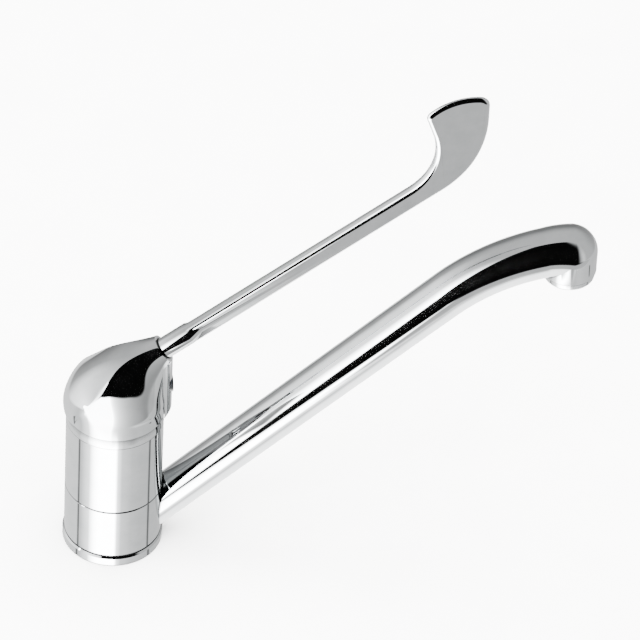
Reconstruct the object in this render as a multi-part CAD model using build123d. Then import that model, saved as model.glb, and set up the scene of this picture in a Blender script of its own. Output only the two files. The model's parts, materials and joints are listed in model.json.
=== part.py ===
# Single-lever sink mixer with a long elbow lever and a low swivel spout.
# Millimetres. Z is up, the origin is on the deck plane at the body's axis,
# and the spout and the closed lever both point along +X.
from build123d import *
from math import cos, radians, sin, tan
import os

# Clearances
RUN = 0.08              # radial play of a running fit
SEAT = 0.04             # play of a piece fixed in its seat
GAP = 0.3               # free gap between pieces that move past each other
FILM = 0.03             # play between flat faces that slide on each other
CUT = 200.0             # size of blocks that trim a form

# Body and swivel ring
BODY_D = 49.0           # barrel and swivel ring
BASE_H = 5.0            # base ring height
BASE_LIP = 0.75         # base ring stands out from the barrel by this
BASE_EDGE = 0.8         # chamfer on the base ring
GASKET_T = 1.5          # base gasket thickness
GASKET_W = 3.0          # base gasket width
LOWER_SLIP_T = 0.9      # bearing ring below the swivel ring
UPPER_SLIP_T = 0.5      # bearing ring above the swivel ring
SLIP_INSET = 0.5        # bearing rings lie inside the barrel by this
RING_H = 29.7           # swivel ring height
BARREL_H = 43.9         # barrel height above the swivel ring
EDGE = 0.3              # small broken edge on turned pieces
RING_WALL = 5.5         # swivel ring wall round the fixed core
SEAL_CORD = 2.6         # spout seal cord diameter
SEAL_FROM_END = 5.6     # spout seal centre from the end of the swivel ring
CHANNEL_H = 11.0        # annular water channel height
CHANNEL_DEPTH = 3.0     # annular water channel depth

# Underside connections
INLET_R = 4.5           # M10x1 tapping radius
INLET_DEPTH = 12.0
INLET_SPACING = 17.0    # between the two inlets
INLET_BACK = 3.0        # inlets lie behind the axis by this
STUD_R = 3.4            # M8 tapping radius
STUD_DEPTH = 14.0
STUD_AHEAD = 10.5       # stud lies ahead of the axis by this
DUCT_R = 3.0            # inlet ducts above the threads
OUTLET_AHEAD = 9.5      # outlet duct ahead of the axis
OUTLET_R = 3.3

# Cartridge
CART_D = 40.0
CART_WALL = 2.6         # housing wall
CART_PLAY = 0.2         # cartridge in its chamber
CART_BASE_T = 5.0
PEG_R = 2.0             # locating pegs under the base
PEG_H = 2.5
PEG_SPREAD = 14.0       # pegs from the axis
PORT_SEAL_T = 2.0
PORT_SEAL_W = 1.4       # seal width round each port
DISC_SEAL_T = 1.5
DISC_SEAL_SUNK = 1.0    # part of the disc seal that lies in the base
DISC_T = 4.0            # each ceramic disc
FIXED_DISC_D = 30.0
MOVING_DISC_D = 24.0
POCKET_DEPTH = 2.0      # mixing pocket under the moving disc
POCKET_L = 15.0
POCKET_W = 11.0
CARRIER_L = 19.0
CARRIER_W = 15.0
CARRIER_H = 6.0
ROTOR_FLANGE_R = 16.6
ROTOR_FLANGE_T = 1.3    # flange above the carrier
ROTOR_NECK_R = 13.0
ROTOR_ABOVE_PIVOT = 6.0
ROTOR_SEAL_UP = 1.8     # rotor seal centre above the shoulder
SHOULDER_T = 2.0        # housing shoulder under the nut
NECK_WALL = 2.2         # housing neck wall
NECK_BELOW_ROTOR = 1.5  # housing neck ends below the rotor top by this
PIVOT_ABOVE_CARRIER = 8.8
PIN_R = 2.0
NUT_H = 8.0
NUT_SLOT_W = 5.0        # spanner slots in the nut
NUT_SLOT_DEPTH = 2.5
TRIM_SPIGOT_H = 3.0     # trim ring part inside the barrel
TRIM_SPIGOT_T = 2.0
TRIM_CONE_H = 5.0       # visible cone of the trim ring
TRIM_CONE_IN = 0.9      # cone narrows by this on the radius
TRIM_HOLE_R = 17.2

# Handle travel
LIFT_DEG = 25.0         # lever lift from closed to open
SPINDLE_W = 8.0         # square stem
TONGUE_W = 5.6          # stem below the pivot
TONGUE_UP = 1.0         # full tongue ends above the carrier by this
BALL_R = 2.2            # rounded lower end of the stem
BALL_NECK_W = 3.0       # stem just above its rounded end
BALL_ABOVE_SLOT = 0.4   # end clears the floor of its slot
SLOT_DEPTH = 5.0        # slot in the carrier
STEM_ABOVE_SKIRT = 19.5 # stem top above the handle's lower edge

# Handle dome
SKIRT_GAP = 0.8         # handle edge above the trim ring
SKIRT_OUT = 0.4         # handle stands out from the barrel by this
SKIRT_WALL = 1.0
SKIRT_H = 7.0           # straight skirt
FAN_UP = 11.0           # hinge of the fan of sections above the handle's edge
BACK_BULGE = 1.5        # crown of the back beyond the skirt
FOOT_BULGE = 0.7        # the same at the lower edge
CREASE_DEG = 34.0       # crease from the back at the top of the skirt, seen from above
FOOT_CREASE_DEG = 29.0  # the same at the lower edge
BOSS_R = 7.5            # round boss that takes the lever
BOSS_X = 23.6           # centre of the boss face
BOSS_ABOVE_SKIRT = 37.9
LEVER_RISE = 37.0       # slope of the lever in degrees
COLUMN_W = 14.8         # rounded column down the front
COLUMN_OUT = 3.8        # front of the column stands out from the barrel by this
COLUMN_DROP = 4.6       # column reaches below the handle's edge by this
COLUMN_CHAMFER = 5.2
CAVITY_CONE_H = 9.0     # cavity above the straight skirt
CAVITY_TOP_R = 13.0
SOCKET_W = 14.5         # block round the stem
SOCKET_ABOVE_SKIRT = 6.5
PLUG_R = 5.0            # indicator plug
PLUG_T = 5.0
PLUG_OUT = 0.2          # plug stands out from the column
PLUG_ABOVE_SKIRT = 14.9
PLUG_WALL = 2.1         # wall under the plug's bore
SCREW_R = 2.5           # M5 handle screw
SCREW_L = 9.0
GRUB_R = 2.0            # M4 lever screw
GRUB_L = 5.0

# Handle sections between skirt and boss, in planes that fan out from in front:
# share of the fan, then distances from the fan's hinge and half widths:
# back, crease, crease half width, middle, middle half width, shoulder, shoulder half width, front
DOME_SECTIONS = [
    (0.10, 66.3, 60.0, 17.0, 42.0, 24.0, 24.5, 15.7, 18.6),
    (0.25, 60.9, 54.8, 14.9, 40.0, 20.4, 24.0, 13.2, 18.0),
    (0.50, 52.0, 50.3, 9.2, 37.0, 11.9, 25.5, 9.6, 18.5),
    (0.75, 45.0, 44.5, 5.5, 34.0, 8.4, 26.0, 7.6, 21.5),
]

# Lever
ROD_D = 11.0
ROD_OUT = 15.8          # round rod outside the boss
ROD_IN = 13.0           # rod inside the boss
NECK_L = 7.0            # cone from rod to bar
BAR_H = 10.2            # bar height across the lever
BAR_T = 6.0             # bar and paddle thickness
BAR_ROUND = 2.6         # rounding of the long edges
BELLY_AT = 164.8        # lower edge starts to curve up, from the boss face
BELLY_R = 53.5          # lower curve of the paddle
TIP_RISE = 13.0         # straight front edge above that curve
NAPE_AT = 151.8         # upper edge starts to curve up, from the boss face
NAPE_R = 30.9           # hollow curve above the bar
NAPE_TURN = 72.0        # hollow curve turns by this
HEEL_RISE = 12.0        # straight rear edge above that curve
CREST_R = 30.0          # rounded top edge
TIP_R = 5.5             # outer corner
HEEL_R = 4.0            # inner corner

# Spout
SPOUT_RISE = 42.1       # slope of the straight tube in degrees
ROOT_D = 21.6           # tube at the swivel ring
BEND_D = 23.2           # tube where the bend starts
CROOK_D = 25.0          # tube where the bend ends
BEND_X = 164.0          # where the bend starts
BEND_R = 98.0
BEND_TO = 10.0          # slope at the end of the bend in degrees, and down again at the nozzle
TUBE_WALL = 3.0
PORT_R = 5.0            # passage from the water channel to the tube
NOZZLE_X = 225.2        # axis of the outlet
NOZZLE_R = 13.6         # also the rounded end of the tube
NOZZLE_DROP = 11.4      # straight nozzle below the centre of that round
NOZZLE_BORE_R = 11.0

# Aerator
AERATOR_R = 12.8
AERATOR_H = 3.9         # visible height
AERATOR_ROUND = 1.2
AERATOR_GAP = 0.15      # seam under the nozzle
THREAD_H = 6.0          # threaded spigot inside the nozzle
AERATOR_WALL = 1.6
AERATOR_LIP = 1.4       # inner lip at the mouth
WASHER_T = 1.6
SCREEN_T = 0.8
SCREEN_HOLE_W = 1.7     # square openings of the screen
SCREEN_PITCH = 2.7
INSERT_JET_R = 1.0
INSERT_JETS = 8
INSERT_JET_RING = 6.0

# Levels and radii that follow from the sizes above
BODY_R = BODY_D / 2
CORE_R = BODY_R - RING_WALL
RING_Z0 = BASE_H + LOWER_SLIP_T + FILM
RING_Z1 = RING_Z0 + RING_H
RING_MID = (RING_Z0 + RING_Z1) / 2
BARREL_Z0 = RING_Z1 + UPPER_SLIP_T + FILM
BARREL_Z1 = BARREL_Z0 + BARREL_H
NUT_Z1 = BARREL_Z1 - TRIM_SPIGOT_H - GAP
NUT_Z0 = NUT_Z1 - NUT_H
SHOULDER_Z = NUT_Z0 - SHOULDER_T
ROTOR_FLANGE_Z1 = SHOULDER_Z - FILM
CARRIER_Z1 = ROTOR_FLANGE_Z1 - ROTOR_FLANGE_T - GAP
CARRIER_Z0 = CARRIER_Z1 - CARRIER_H
MOVING_Z0 = CARRIER_Z0 - DISC_T
FIXED_Z1 = MOVING_Z0 - FILM
FIXED_Z0 = FIXED_Z1 - DISC_T
CART_BASE_Z1 = FIXED_Z0 - DISC_SEAL_T + DISC_SEAL_SUNK
FLOOR_Z = CART_BASE_Z1 - CART_BASE_T
PIVOT_Z = CARRIER_Z1 + PIVOT_ABOVE_CARRIER
SLOT_Z = CARRIER_Z1 - SLOT_DEPTH
BALL_Z = SLOT_Z + BALL_ABOVE_SLOT + BALL_R
ARM = PIVOT_Z - BALL_Z
TRAVEL = ARM * sin(radians(LIFT_DEG))
ROTOR_Z1 = PIVOT_Z + ROTOR_ABOVE_PIVOT
NECK_R0 = ROTOR_NECK_R + RUN
NECK_R1 = NECK_R0 + NECK_WALL
CHAMBER_R = CART_D / 2 + CART_PLAY
HOUSING_R = CART_D / 2
HOUSING_BORE = HOUSING_R - CART_WALL
TRIM_Z1 = BARREL_Z1 + TRIM_CONE_H
SKIRT_Z = TRIM_Z1 + SKIRT_GAP
SKIRT_R = BODY_R + SKIRT_OUT
CAVITY_R = SKIRT_R - SKIRT_WALL
STEM_Z1 = SKIRT_Z + STEM_ABOVE_SKIRT
BOSS_Z = SKIRT_Z + BOSS_ABOVE_SKIRT
COLUMN_X = BODY_R + COLUMN_OUT
PLUG_Z = SKIRT_Z + PLUG_ABOVE_SKIRT
BEND_Z = RING_MID + (BEND_X - BODY_R) * tan(radians(SPOUT_RISE))
CROOK_X = BEND_X + BEND_R * (sin(radians(SPOUT_RISE)) - sin(radians(BEND_TO)))
CROOK_R = (NOZZLE_X - CROOK_X) / sin(radians(BEND_TO)) / 2
NOZZLE_Z = BEND_Z + BEND_R * (cos(radians(BEND_TO)) - cos(radians(SPOUT_RISE)))
MOUTH_Z = NOZZLE_Z - NOZZLE_DROP
AERATOR_Z1 = MOUTH_Z - AERATOR_GAP
WASHER_Z0 = AERATOR_Z1 + THREAD_H
WASHER_Z1 = WASHER_Z0 + WASHER_T
INLETS = [(-INLET_BACK, -INLET_SPACING / 2), (-INLET_BACK, INLET_SPACING / 2)]
PORTS = [(x, y, DUCT_R) for x, y in INLETS] + [(OUTLET_AHEAD, 0, OUTLET_R)]


def disc(radius, z0, z1, x=0.0, y=0.0):
    """Upright cylinder between two heights."""
    return Pos(x, y, (z0 + z1) / 2) * Cylinder(radius, z1 - z0)


def block(length, width, z0, z1, x=0.0):
    """Upright block between two heights, centred across the tap."""
    return Pos(x, 0, (z0 + z1) / 2) * Box(length, width, z1 - z0)


def turned(*points):
    """Solid turned about the tap's axis from (radius, height) points."""
    outline = Polyline(*[(radius, 0, z) for radius, z in points], close=True)
    return revolve(make_face(outline), Axis.Z)


def ring(outer, inner, z0, z1, edge=0.0):
    """Flat ring about the tap's axis, with its outer edges broken."""
    if edge == 0.0:
        return disc(outer, z0, z1) - disc(inner, z0, z1)
    return turned(
        (inner, z0), (outer - edge, z0), (outer, z0 + edge),
        (outer, z1 - edge), (outer - edge, z1), (inner, z1))


def cross_rod(radius, length, x, z):
    """Cylinder across the tap, along Y."""
    return Pos(x, 0, z) * Rot(90, 0, 0) * Cylinder(radius, length)


def front_rod(radius, x0, x1, z):
    """Cylinder along X between two places."""
    return Pos((x0 + x1) / 2, 0, z) * Rot(0, 90, 0) * Cylinder(radius, x1 - x0)


# Body
def base_ring():
    outer = BODY_R + BASE_LIP
    blank = turned(
        (CORE_R + SEAT, 0), (outer, 0), (outer, BASE_H - BASE_EDGE),
        (outer - BASE_EDGE, BASE_H), (CORE_R + SEAT, BASE_H))
    return blank - gasket_space(SEAT)


def gasket_space(play):
    """Ring that the base gasket fills, larger by the given play."""
    middle = (CORE_R + BODY_R) / 2
    half = GASKET_W / 2 + play
    return disc(middle + half, 0, GASKET_T + play) - disc(middle - half, 0, GASKET_T + play)


def base_gasket():
    return gasket_space(0)


def lower_slip_ring():
    return ring(BODY_R - SLIP_INSET, CORE_R + SEAT, BASE_H, BASE_H + LOWER_SLIP_T)


def upper_slip_ring():
    return ring(BODY_R - SLIP_INSET, CORE_R + SEAT, BARREL_Z0 - UPPER_SLIP_T, BARREL_Z0)


def seal_levels():
    return [RING_Z0 + SEAL_FROM_END, RING_Z1 - SEAL_FROM_END]


def mixer_body():
    solid = disc(CORE_R, 0, BARREL_Z0) + ring(BODY_R, 0, BARREL_Z0, BARREL_Z1, EDGE)
    solid -= disc(CHAMBER_R, FLOOR_Z, BARREL_Z1)
    half = CHANNEL_H / 2
    solid -= ring(CORE_R, CORE_R - CHANNEL_DEPTH, RING_MID - half, RING_MID + half)
    for z in seal_levels():
        solid -= ring(CORE_R, CORE_R - SEAL_CORD, z - SEAL_CORD / 2 - SEAT, z + SEAL_CORD / 2 + SEAT)
    for x, y in INLETS:
        solid -= disc(INLET_R, 0, INLET_DEPTH, x, y)
        solid -= disc(DUCT_R, INLET_DEPTH, FLOOR_Z, x, y)
    solid -= disc(STUD_R, 0, STUD_DEPTH, STUD_AHEAD)
    solid -= disc(OUTLET_R, RING_MID, FLOOR_Z, OUTLET_AHEAD)
    solid -= front_rod(OUTLET_R, OUTLET_AHEAD, CORE_R, RING_MID)
    for side in (-1, 1):
        solid -= disc(PEG_R + SEAT, FLOOR_Z - PEG_H - SEAT, FLOOR_Z, -INLET_BACK, side * PEG_SPREAD)
    return solid


def spout_seal(z):
    """Seal cord in its groove, pressed flat against the bore of the swivel ring."""
    outer = CORE_R + RUN - SEAT
    inner = CORE_R - SEAL_CORD + SEAT
    half = SEAL_CORD / 2
    edge = SEAL_CORD / 4
    return turned(
        (inner, z - half + edge), (inner + edge, z - half), (CORE_R - edge, z - half),
        (outer, z - half + edge), (outer, z + half - edge), (CORE_R - edge, z + half),
        (inner + edge, z + half), (inner, z + half - edge))


# Cartridge
def cartridge_base():
    solid = disc(HOUSING_R, FLOOR_Z, CART_BASE_Z1)
    solid -= disc(FIXED_DISC_D / 2 + SEAT, CART_BASE_Z1 - DISC_SEAL_SUNK, CART_BASE_Z1)
    for x, y, radius in PORTS:
        solid -= disc(radius, FLOOR_Z, CART_BASE_Z1, x, y)
        solid -= disc(radius + PORT_SEAL_W + SEAT, FLOOR_Z, FLOOR_Z + PORT_SEAL_T, x, y)
    for side in (-1, 1):
        solid += disc(PEG_R, FLOOR_Z - PEG_H, FLOOR_Z, -INLET_BACK, side * PEG_SPREAD)
    return solid


def port_seals():
    seals = []
    for x, y, radius in PORTS:
        outside = disc(radius + PORT_SEAL_W, FLOOR_Z, FLOOR_Z + PORT_SEAL_T, x, y)
        seals.append(outside - disc(radius, FLOOR_Z, FLOOR_Z + PORT_SEAL_T, x, y))
    return Compound(children=seals)


def disc_seal():
    z0 = CART_BASE_Z1 - DISC_SEAL_SUNK
    solid = disc(FIXED_DISC_D / 2, z0, FIXED_Z0)
    for x, y, radius in PORTS:
        solid -= disc(radius, z0, FIXED_Z0, x, y)
    return solid


def fixed_disc():
    solid = disc(FIXED_DISC_D / 2, FIXED_Z0, FIXED_Z1)
    for x, y, radius in PORTS:
        solid -= disc(radius, FIXED_Z0, FIXED_Z1, x, y)
    return solid


def moving_disc():
    x = -TRAVEL / 2
    solid = disc(MOVING_DISC_D / 2, MOVING_Z0, CARRIER_Z0, x)
    pocket = extrude(SlotOverall(POCKET_L, POCKET_W), POCKET_DEPTH)
    solid -= Pos(x, 0, MOVING_Z0) * pocket
    return solid


def disc_carrier():
    solid = block(CARRIER_L, CARRIER_W, CARRIER_Z0, CARRIER_Z1, -TRAVEL / 2)
    slot_l = 2 * (BALL_R + GAP)
    solid -= block(slot_l, SPINDLE_W + 2 * GAP, SLOT_Z, CARRIER_Z1)
    return solid


def rotor():
    solid = disc(ROTOR_FLANGE_R, CARRIER_Z0 + GAP, ROTOR_FLANGE_Z1)
    solid += disc(ROTOR_NECK_R, ROTOR_FLANGE_Z1, ROTOR_Z1)
    travel_l = CARRIER_L + TRAVEL + 2 * GAP
    solid -= block(travel_l, CARRIER_W + 2 * GAP, CARRIER_Z0, CARRIER_Z1 + GAP)
    lean = tan(radians(LIFT_DEG))
    back = (ROTOR_Z1 - PIVOT_Z) * lean + SPINDLE_W / 2 / cos(radians(LIFT_DEG)) + GAP
    front = (PIVOT_Z - CARRIER_Z1) * lean + TONGUE_W / 2 / cos(radians(LIFT_DEG)) + GAP
    solid -= block(back + front, SPINDLE_W + 2 * GAP, CARRIER_Z0, ROTOR_Z1, (front - back) / 2)
    solid -= cross_rod(PIN_R + SEAT, 2 * ROTOR_NECK_R, 0, PIVOT_Z)
    z = SHOULDER_Z + ROTOR_SEAL_UP
    return solid - ring(ROTOR_NECK_R, ROTOR_NECK_R - SEAL_CORD / 2, z - SEAL_CORD / 2, z + SEAL_CORD / 2)


def rotor_seal():
    z = SHOULDER_Z + ROTOR_SEAL_UP
    half = SEAL_CORD / 2 - SEAT
    return ring(ROTOR_NECK_R, ROTOR_NECK_R - SEAL_CORD / 2 + SEAT, z - half, z + half)


def pivot_pin():
    return cross_rod(PIN_R, 2 * (ROTOR_NECK_R - GAP), 0, PIVOT_Z)


def cartridge_housing():
    neck_top = ROTOR_Z1 - NECK_BELOW_ROTOR
    solid = disc(HOUSING_R, CART_BASE_Z1, NUT_Z0) + disc(NECK_R1, NUT_Z0, neck_top)
    solid -= disc(HOUSING_BORE, CART_BASE_Z1, SHOULDER_Z)
    return solid - disc(NECK_R0, SHOULDER_Z, neck_top)


def cartridge_nut():
    solid = disc(CHAMBER_R - SEAT, NUT_Z0, NUT_Z1) - disc(NECK_R1 + SEAT, NUT_Z0, NUT_Z1)
    for turn in (0, 90):
        slot = block(2 * CHAMBER_R, NUT_SLOT_W, NUT_Z1 - NUT_SLOT_DEPTH, NUT_Z1)
        solid -= Rot(0, 0, turn) * slot
    return solid


def trim_ring():
    spigot = CHAMBER_R - SEAT
    return turned(
        (spigot - TRIM_SPIGOT_T, BARREL_Z1 - TRIM_SPIGOT_H), (spigot, BARREL_Z1 - TRIM_SPIGOT_H),
        (spigot, BARREL_Z1), (BODY_R, BARREL_Z1), (BODY_R, BARREL_Z1 + EDGE),
        (BODY_R - TRIM_CONE_IN, TRIM_Z1), (TRIM_HOLE_R, TRIM_Z1),
        (spigot - TRIM_SPIGOT_T, BARREL_Z1))


# Handle
def spindle():
    stem = block(SPINDLE_W, SPINDLE_W, PIVOT_Z - SPINDLE_W / 2, STEM_Z1)
    stem += block(TONGUE_W, SPINDLE_W, CARRIER_Z1 + TONGUE_UP, PIVOT_Z)
    stem += block(BALL_NECK_W, SPINDLE_W, BALL_Z, PIVOT_Z)
    stem += cross_rod(BALL_R, SPINDLE_W, 0, BALL_Z)
    return stem - cross_rod(PIN_R + RUN, SPINDLE_W, 0, PIVOT_Z)


def fan_plane(share):
    """Plane of a handle section, its x axis pointing back from the fan's hinge."""
    level = SKIRT_Z + FAN_UP
    reach = (BOSS_Z - level) * tan(radians(LEVER_RISE))
    hinge = (BOSS_X + reach, 0, level)
    angle = radians(share * (90 - LEVER_RISE))
    return Plane(hinge, x_dir=(-cos(angle), 0, sin(angle)), z_dir=(sin(angle), 0, cos(angle)))


def hinge_x():
    return fan_plane(0).origin.X


def section(plane, back, crease, crease_y, middle, middle_y, shoulder, shoulder_y, front):
    """Handle outline: crowned back, a crease on each side, cheeks that meet in front."""
    crown = ThreePointArc((crease, -crease_y), (back, 0), (crease, crease_y))
    start = (middle - crease, middle_y - crease_y)
    points = [(crease, crease_y), (middle, middle_y), (shoulder, shoulder_y), (front, 0)]
    cheek = Spline(*points, tangents=[start, (0, -1)])
    return plane * make_face([crown, cheek, mirror(cheek, Plane.XZ)])


def round_section(plane, radius, centre, back, crease_deg):
    """Round handle outline with a fuller back, for the skirt."""
    crease = (centre + radius * cos(radians(crease_deg)), radius * sin(radians(crease_deg)))
    crown = ThreePointArc((crease[0], -crease[1]), (back, 0), crease)
    side = ThreePointArc(crease, (centre - radius * sin(radians(crease_deg / 2)),
                                  radius * cos(radians(crease_deg / 2))), (centre - radius, 0))
    return plane * make_face([crown, side, mirror(side, Plane.XZ)])


def dome_blank():
    """Outside of the handle from the skirt to the boss face."""
    top = fan_plane(0)
    back = hinge_x() + SKIRT_R + BACK_BULGE
    upper = round_section(top.offset(SKIRT_H - FAN_UP), SKIRT_R, hinge_x(), back, CREASE_DEG)
    foot = round_section(top.offset(-FAN_UP), SKIRT_R, hinge_x(), back - BACK_BULGE + FOOT_BULGE, FOOT_CREASE_DEG)
    skirt = loft([foot, upper])
    fan = [upper]
    for share, *sizes in DOME_SECTIONS:
        fan.append(section(fan_plane(share), *sizes))
    face = fan_plane(1)
    reach = (BOSS_Z - top.origin.Z) / cos(radians(LEVER_RISE))
    fan.append(round_section(face, BOSS_R, reach, reach + BOSS_R, CREASE_DEG))
    return skirt + loft(fan)


def column():
    """Rounded column down the front of the handle, up to the middle of the boss."""
    radius = COLUMN_W / 2
    z0 = SKIRT_Z - COLUMN_DROP
    depth = COLUMN_X - radius - CAVITY_TOP_R
    post = disc(radius, z0, BOSS_Z, COLUMN_X - radius)
    post += block(depth, COLUMN_W, z0, BOSS_Z, CAVITY_TOP_R + depth / 2)
    above = lever_plane() * Pos(-CUT / 2, 0, 0) * Box(CUT, CUT, CUT)
    beyond = lever_plane() * Pos(0, 0, CUT / 2) * Box(CUT, CUT, CUT)
    return post - above - beyond - column_foot()


def lever_plane():
    """Plane of the boss face: z runs out along the lever, x lies in the tap's middle plane."""
    rise = radians(LEVER_RISE)
    return Plane((BOSS_X, 0, BOSS_Z), x_dir=(sin(rise), 0, -cos(rise)), z_dir=(cos(rise), 0, sin(rise)))


def lever_rod(radius, start, end):
    """Cylinder on the lever's axis between two distances from the boss face."""
    return lever_plane() * Pos(0, 0, (start + end) / 2) * Cylinder(radius, end - start)


def column_foot():
    """Wedge that slopes the foot of the column in to the barrel."""
    z0 = SKIRT_Z - COLUMN_DROP
    corner = [(COLUMN_X - COLUMN_CHAMFER, z0), (COLUMN_X, z0 + COLUMN_CHAMFER), (COLUMN_X, z0)]
    wedge = make_face(Polyline(*[(x, 0, z) for x, z in corner], close=True))
    return extrude(wedge, COLUMN_W, both=True)


def cavity():
    """Hollow under the handle, with the block that holds the stem left standing."""
    z0 = SKIRT_Z - COLUMN_DROP
    z1 = SKIRT_Z + SKIRT_H
    hollow = turned(
        (0, z0), (BODY_R + GAP, z0), (BODY_R + GAP, SKIRT_Z), (CAVITY_R, SKIRT_Z), (CAVITY_R, z1),
        (CAVITY_TOP_R, z1 + CAVITY_CONE_H), (0, z1 + CAVITY_CONE_H))
    z2 = SKIRT_Z + SOCKET_ABOVE_SKIRT
    socket = block(SOCKET_W, SOCKET_W, z2, z1 + CAVITY_CONE_H)
    bridge = block(COLUMN_X, SOCKET_W, PLUG_Z - PLUG_R - PLUG_WALL, z1 + CAVITY_CONE_H, COLUMN_X / 2)
    return hollow - socket - bridge


def handle_dome():
    solid = dome_blank() + column()
    solid -= cavity()
    solid -= block(SPINDLE_W + 2 * SEAT, SPINDLE_W + 2 * SEAT, SKIRT_Z, STEM_Z1 + GAP)
    solid -= lever_rod(ROD_D / 2 + SEAT, -ROD_IN - SEAT, GAP)
    solid -= front_rod(SCREW_R + SEAT, 0, COLUMN_X, PLUG_Z)
    solid -= front_rod(PLUG_R + SEAT, COLUMN_X - PLUG_T, COLUMN_X + PLUG_OUT, PLUG_Z)
    return solid - grub_hole()


def grub_hole():
    """Tapped hole from the cavity into the lever's socket."""
    middle = -ROD_IN / 2
    reach = ROD_D / 2 + GRUB_L + GAP
    return lever_plane() * Pos(reach / 2, 0, middle) * Rot(0, 90, 0) * Cylinder(GRUB_R + SEAT, reach)


def lever_grub_screw():
    middle = -ROD_IN / 2
    centre = ROD_D / 2 + SEAT + GRUB_L / 2
    return lever_plane() * Pos(centre, 0, middle) * Rot(0, 90, 0) * Cylinder(GRUB_R, GRUB_L)


def handle_set_screw():
    x0 = SPINDLE_W / 2
    return front_rod(SCREW_R, x0, x0 + SCREW_L, PLUG_Z)


def indicator_plug():
    return front_rod(PLUG_R, COLUMN_X - PLUG_T, COLUMN_X + PLUG_OUT, PLUG_Z)


# Lever
def lever_outline():
    """Side view of the bar and the swept-up paddle, along and across the lever."""
    half = BAR_H / 2
    start = ROD_OUT - NECK_L / 2
    low = Line((start, -half), (BELLY_AT, -half))
    belly = JernArc(low @ 1, low % 1, BELLY_R, 90 - LEVER_RISE)
    front = Line(belly @ 1, belly @ 1 + belly % 1 * TIP_RISE)
    high = Line((start, half), (NAPE_AT, half))
    nape = JernArc(high @ 1, high % 1, NAPE_R, NAPE_TURN)
    rear = Line(nape @ 1, nape @ 1 + nape % 1 * HEEL_RISE)
    crest = RadiusArc(rear @ 1, front @ 1, CREST_R)
    end = Line((start, -half), (start, half))
    outline = make_face([low, belly, front, crest, rear, nape, high, end])
    corners = outline.vertices()
    outline = fillet(corners.sort_by_distance(front @ 1)[0], TIP_R)
    return fillet(outline.vertices().sort_by_distance(rear @ 1)[0], HEEL_R)


def lever():
    rise = radians(LEVER_RISE)
    side = Plane((BOSS_X, 0, BOSS_Z), x_dir=(cos(rise), 0, sin(rise)), z_dir=(0, -1, 0))
    plate = extrude(side * lever_outline(), BAR_T / 2, both=True)
    faces = plate.faces().sort_by(Axis.Y)
    plate = fillet(faces[0].edges() + faces[-1].edges(), BAR_ROUND)
    rod = lever_rod(ROD_D / 2, -ROD_IN, ROD_OUT)
    neck = lever_plane() * Pos(0, 0, ROD_OUT + NECK_L / 2) * Cone(ROD_D / 2, BAR_T / 2, NECK_L)
    return plate + rod + neck


# Spout
def spout_path(back):
    """Line of the tube from behind the barrel's surface to the nozzle's axis."""
    rise = radians(SPOUT_RISE)
    start = (BODY_R - back * cos(rise), RING_MID - back * sin(rise))
    straight = Line(start, (BEND_X, BEND_Z))
    bend = JernArc(straight @ 1, straight % 1, BEND_R, BEND_TO - SPOUT_RISE)
    crook = JernArc(bend @ 1, bend % 1, CROOK_R, -2 * BEND_TO)
    return [Plane.XZ * run for run in (straight, bend, crook)]


def tube(back, thinner):
    """Tapered tube along the spout's path, thinner by a wall."""
    sizes = [ROOT_D, BEND_D, CROOK_D, 2 * NOZZLE_R]
    lengths = []
    for run, first, last in zip(spout_path(back), sizes, sizes[1:]):
        start = Plane(run @ 0, z_dir=run % 0) * Circle(first / 2 - thinner)
        end = Plane(run @ 1, z_dir=run % 1) * Circle(last / 2 - thinner)
        lengths.append(sweep([start, end], path=run, multisection=True))
    return lengths[0] + lengths[1] + lengths[2]


def nozzle(radius):
    """Rounded end of the spout, turned about the outlet's axis."""
    return Pos(NOZZLE_X, 0, NOZZLE_Z) * Sphere(radius) + disc(radius, MOUTH_Z, NOZZLE_Z, NOZZLE_X)


def passage():
    """Water passage of the tube, ending in a round space above the washer's seat."""
    inside = tube(-PORT_R, TUBE_WALL) + Pos(NOZZLE_X, 0, NOZZLE_Z) * Sphere(NOZZLE_R - TUBE_WALL)
    inside -= block(2 * NOZZLE_R, 2 * NOZZLE_R, WASHER_Z1 - CUT, WASHER_Z1, NOZZLE_X)
    return inside + disc(NOZZLE_BORE_R, MOUTH_Z, WASHER_Z1, NOZZLE_X)


def spout():
    swivel = ring(BODY_R, 0, RING_Z0, RING_Z1, EDGE)
    arm = tube(ROOT_D / 2, 0)
    below = block(CUT, BODY_D, RING_Z0 - CUT, RING_Z0)
    solid = swivel + (arm - below) + nozzle(NOZZLE_R)
    solid -= disc(CORE_R + RUN, RING_Z0, RING_Z1)
    solid -= front_rod(PORT_R, CORE_R, BODY_R + PORT_R, RING_MID)
    solid -= block(2 * NOZZLE_R, 2 * NOZZLE_R, MOUTH_Z - NOZZLE_R, MOUTH_Z, NOZZLE_X)
    return solid - passage()


# Aerator
def aerator_housing():
    bottom = AERATOR_Z1 - AERATOR_H
    body = disc(AERATOR_R, bottom, AERATOR_Z1, NOZZLE_X)
    body = fillet(body.edges().sort_by(Axis.Z)[0], AERATOR_ROUND)
    body += disc(NOZZLE_BORE_R - SEAT, AERATOR_Z1, WASHER_Z0, NOZZLE_X)
    inside = NOZZLE_BORE_R - SEAT - AERATOR_WALL
    body -= disc(inside, bottom + AERATOR_LIP, WASHER_Z0, NOZZLE_X)
    return body - disc(inside - AERATOR_LIP, bottom, AERATOR_Z1, NOZZLE_X)


def aerator_gasket():
    outside = NOZZLE_BORE_R - SEAT
    inside = outside - AERATOR_WALL - AERATOR_LIP
    washer = disc(outside, WASHER_Z0, WASHER_Z1, NOZZLE_X)
    return washer - disc(inside, WASHER_Z0, WASHER_Z1, NOZZLE_X)


def screen_levels():
    z0 = AERATOR_Z1 - AERATOR_H + AERATOR_LIP
    return z0, z0 + SCREEN_T


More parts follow.
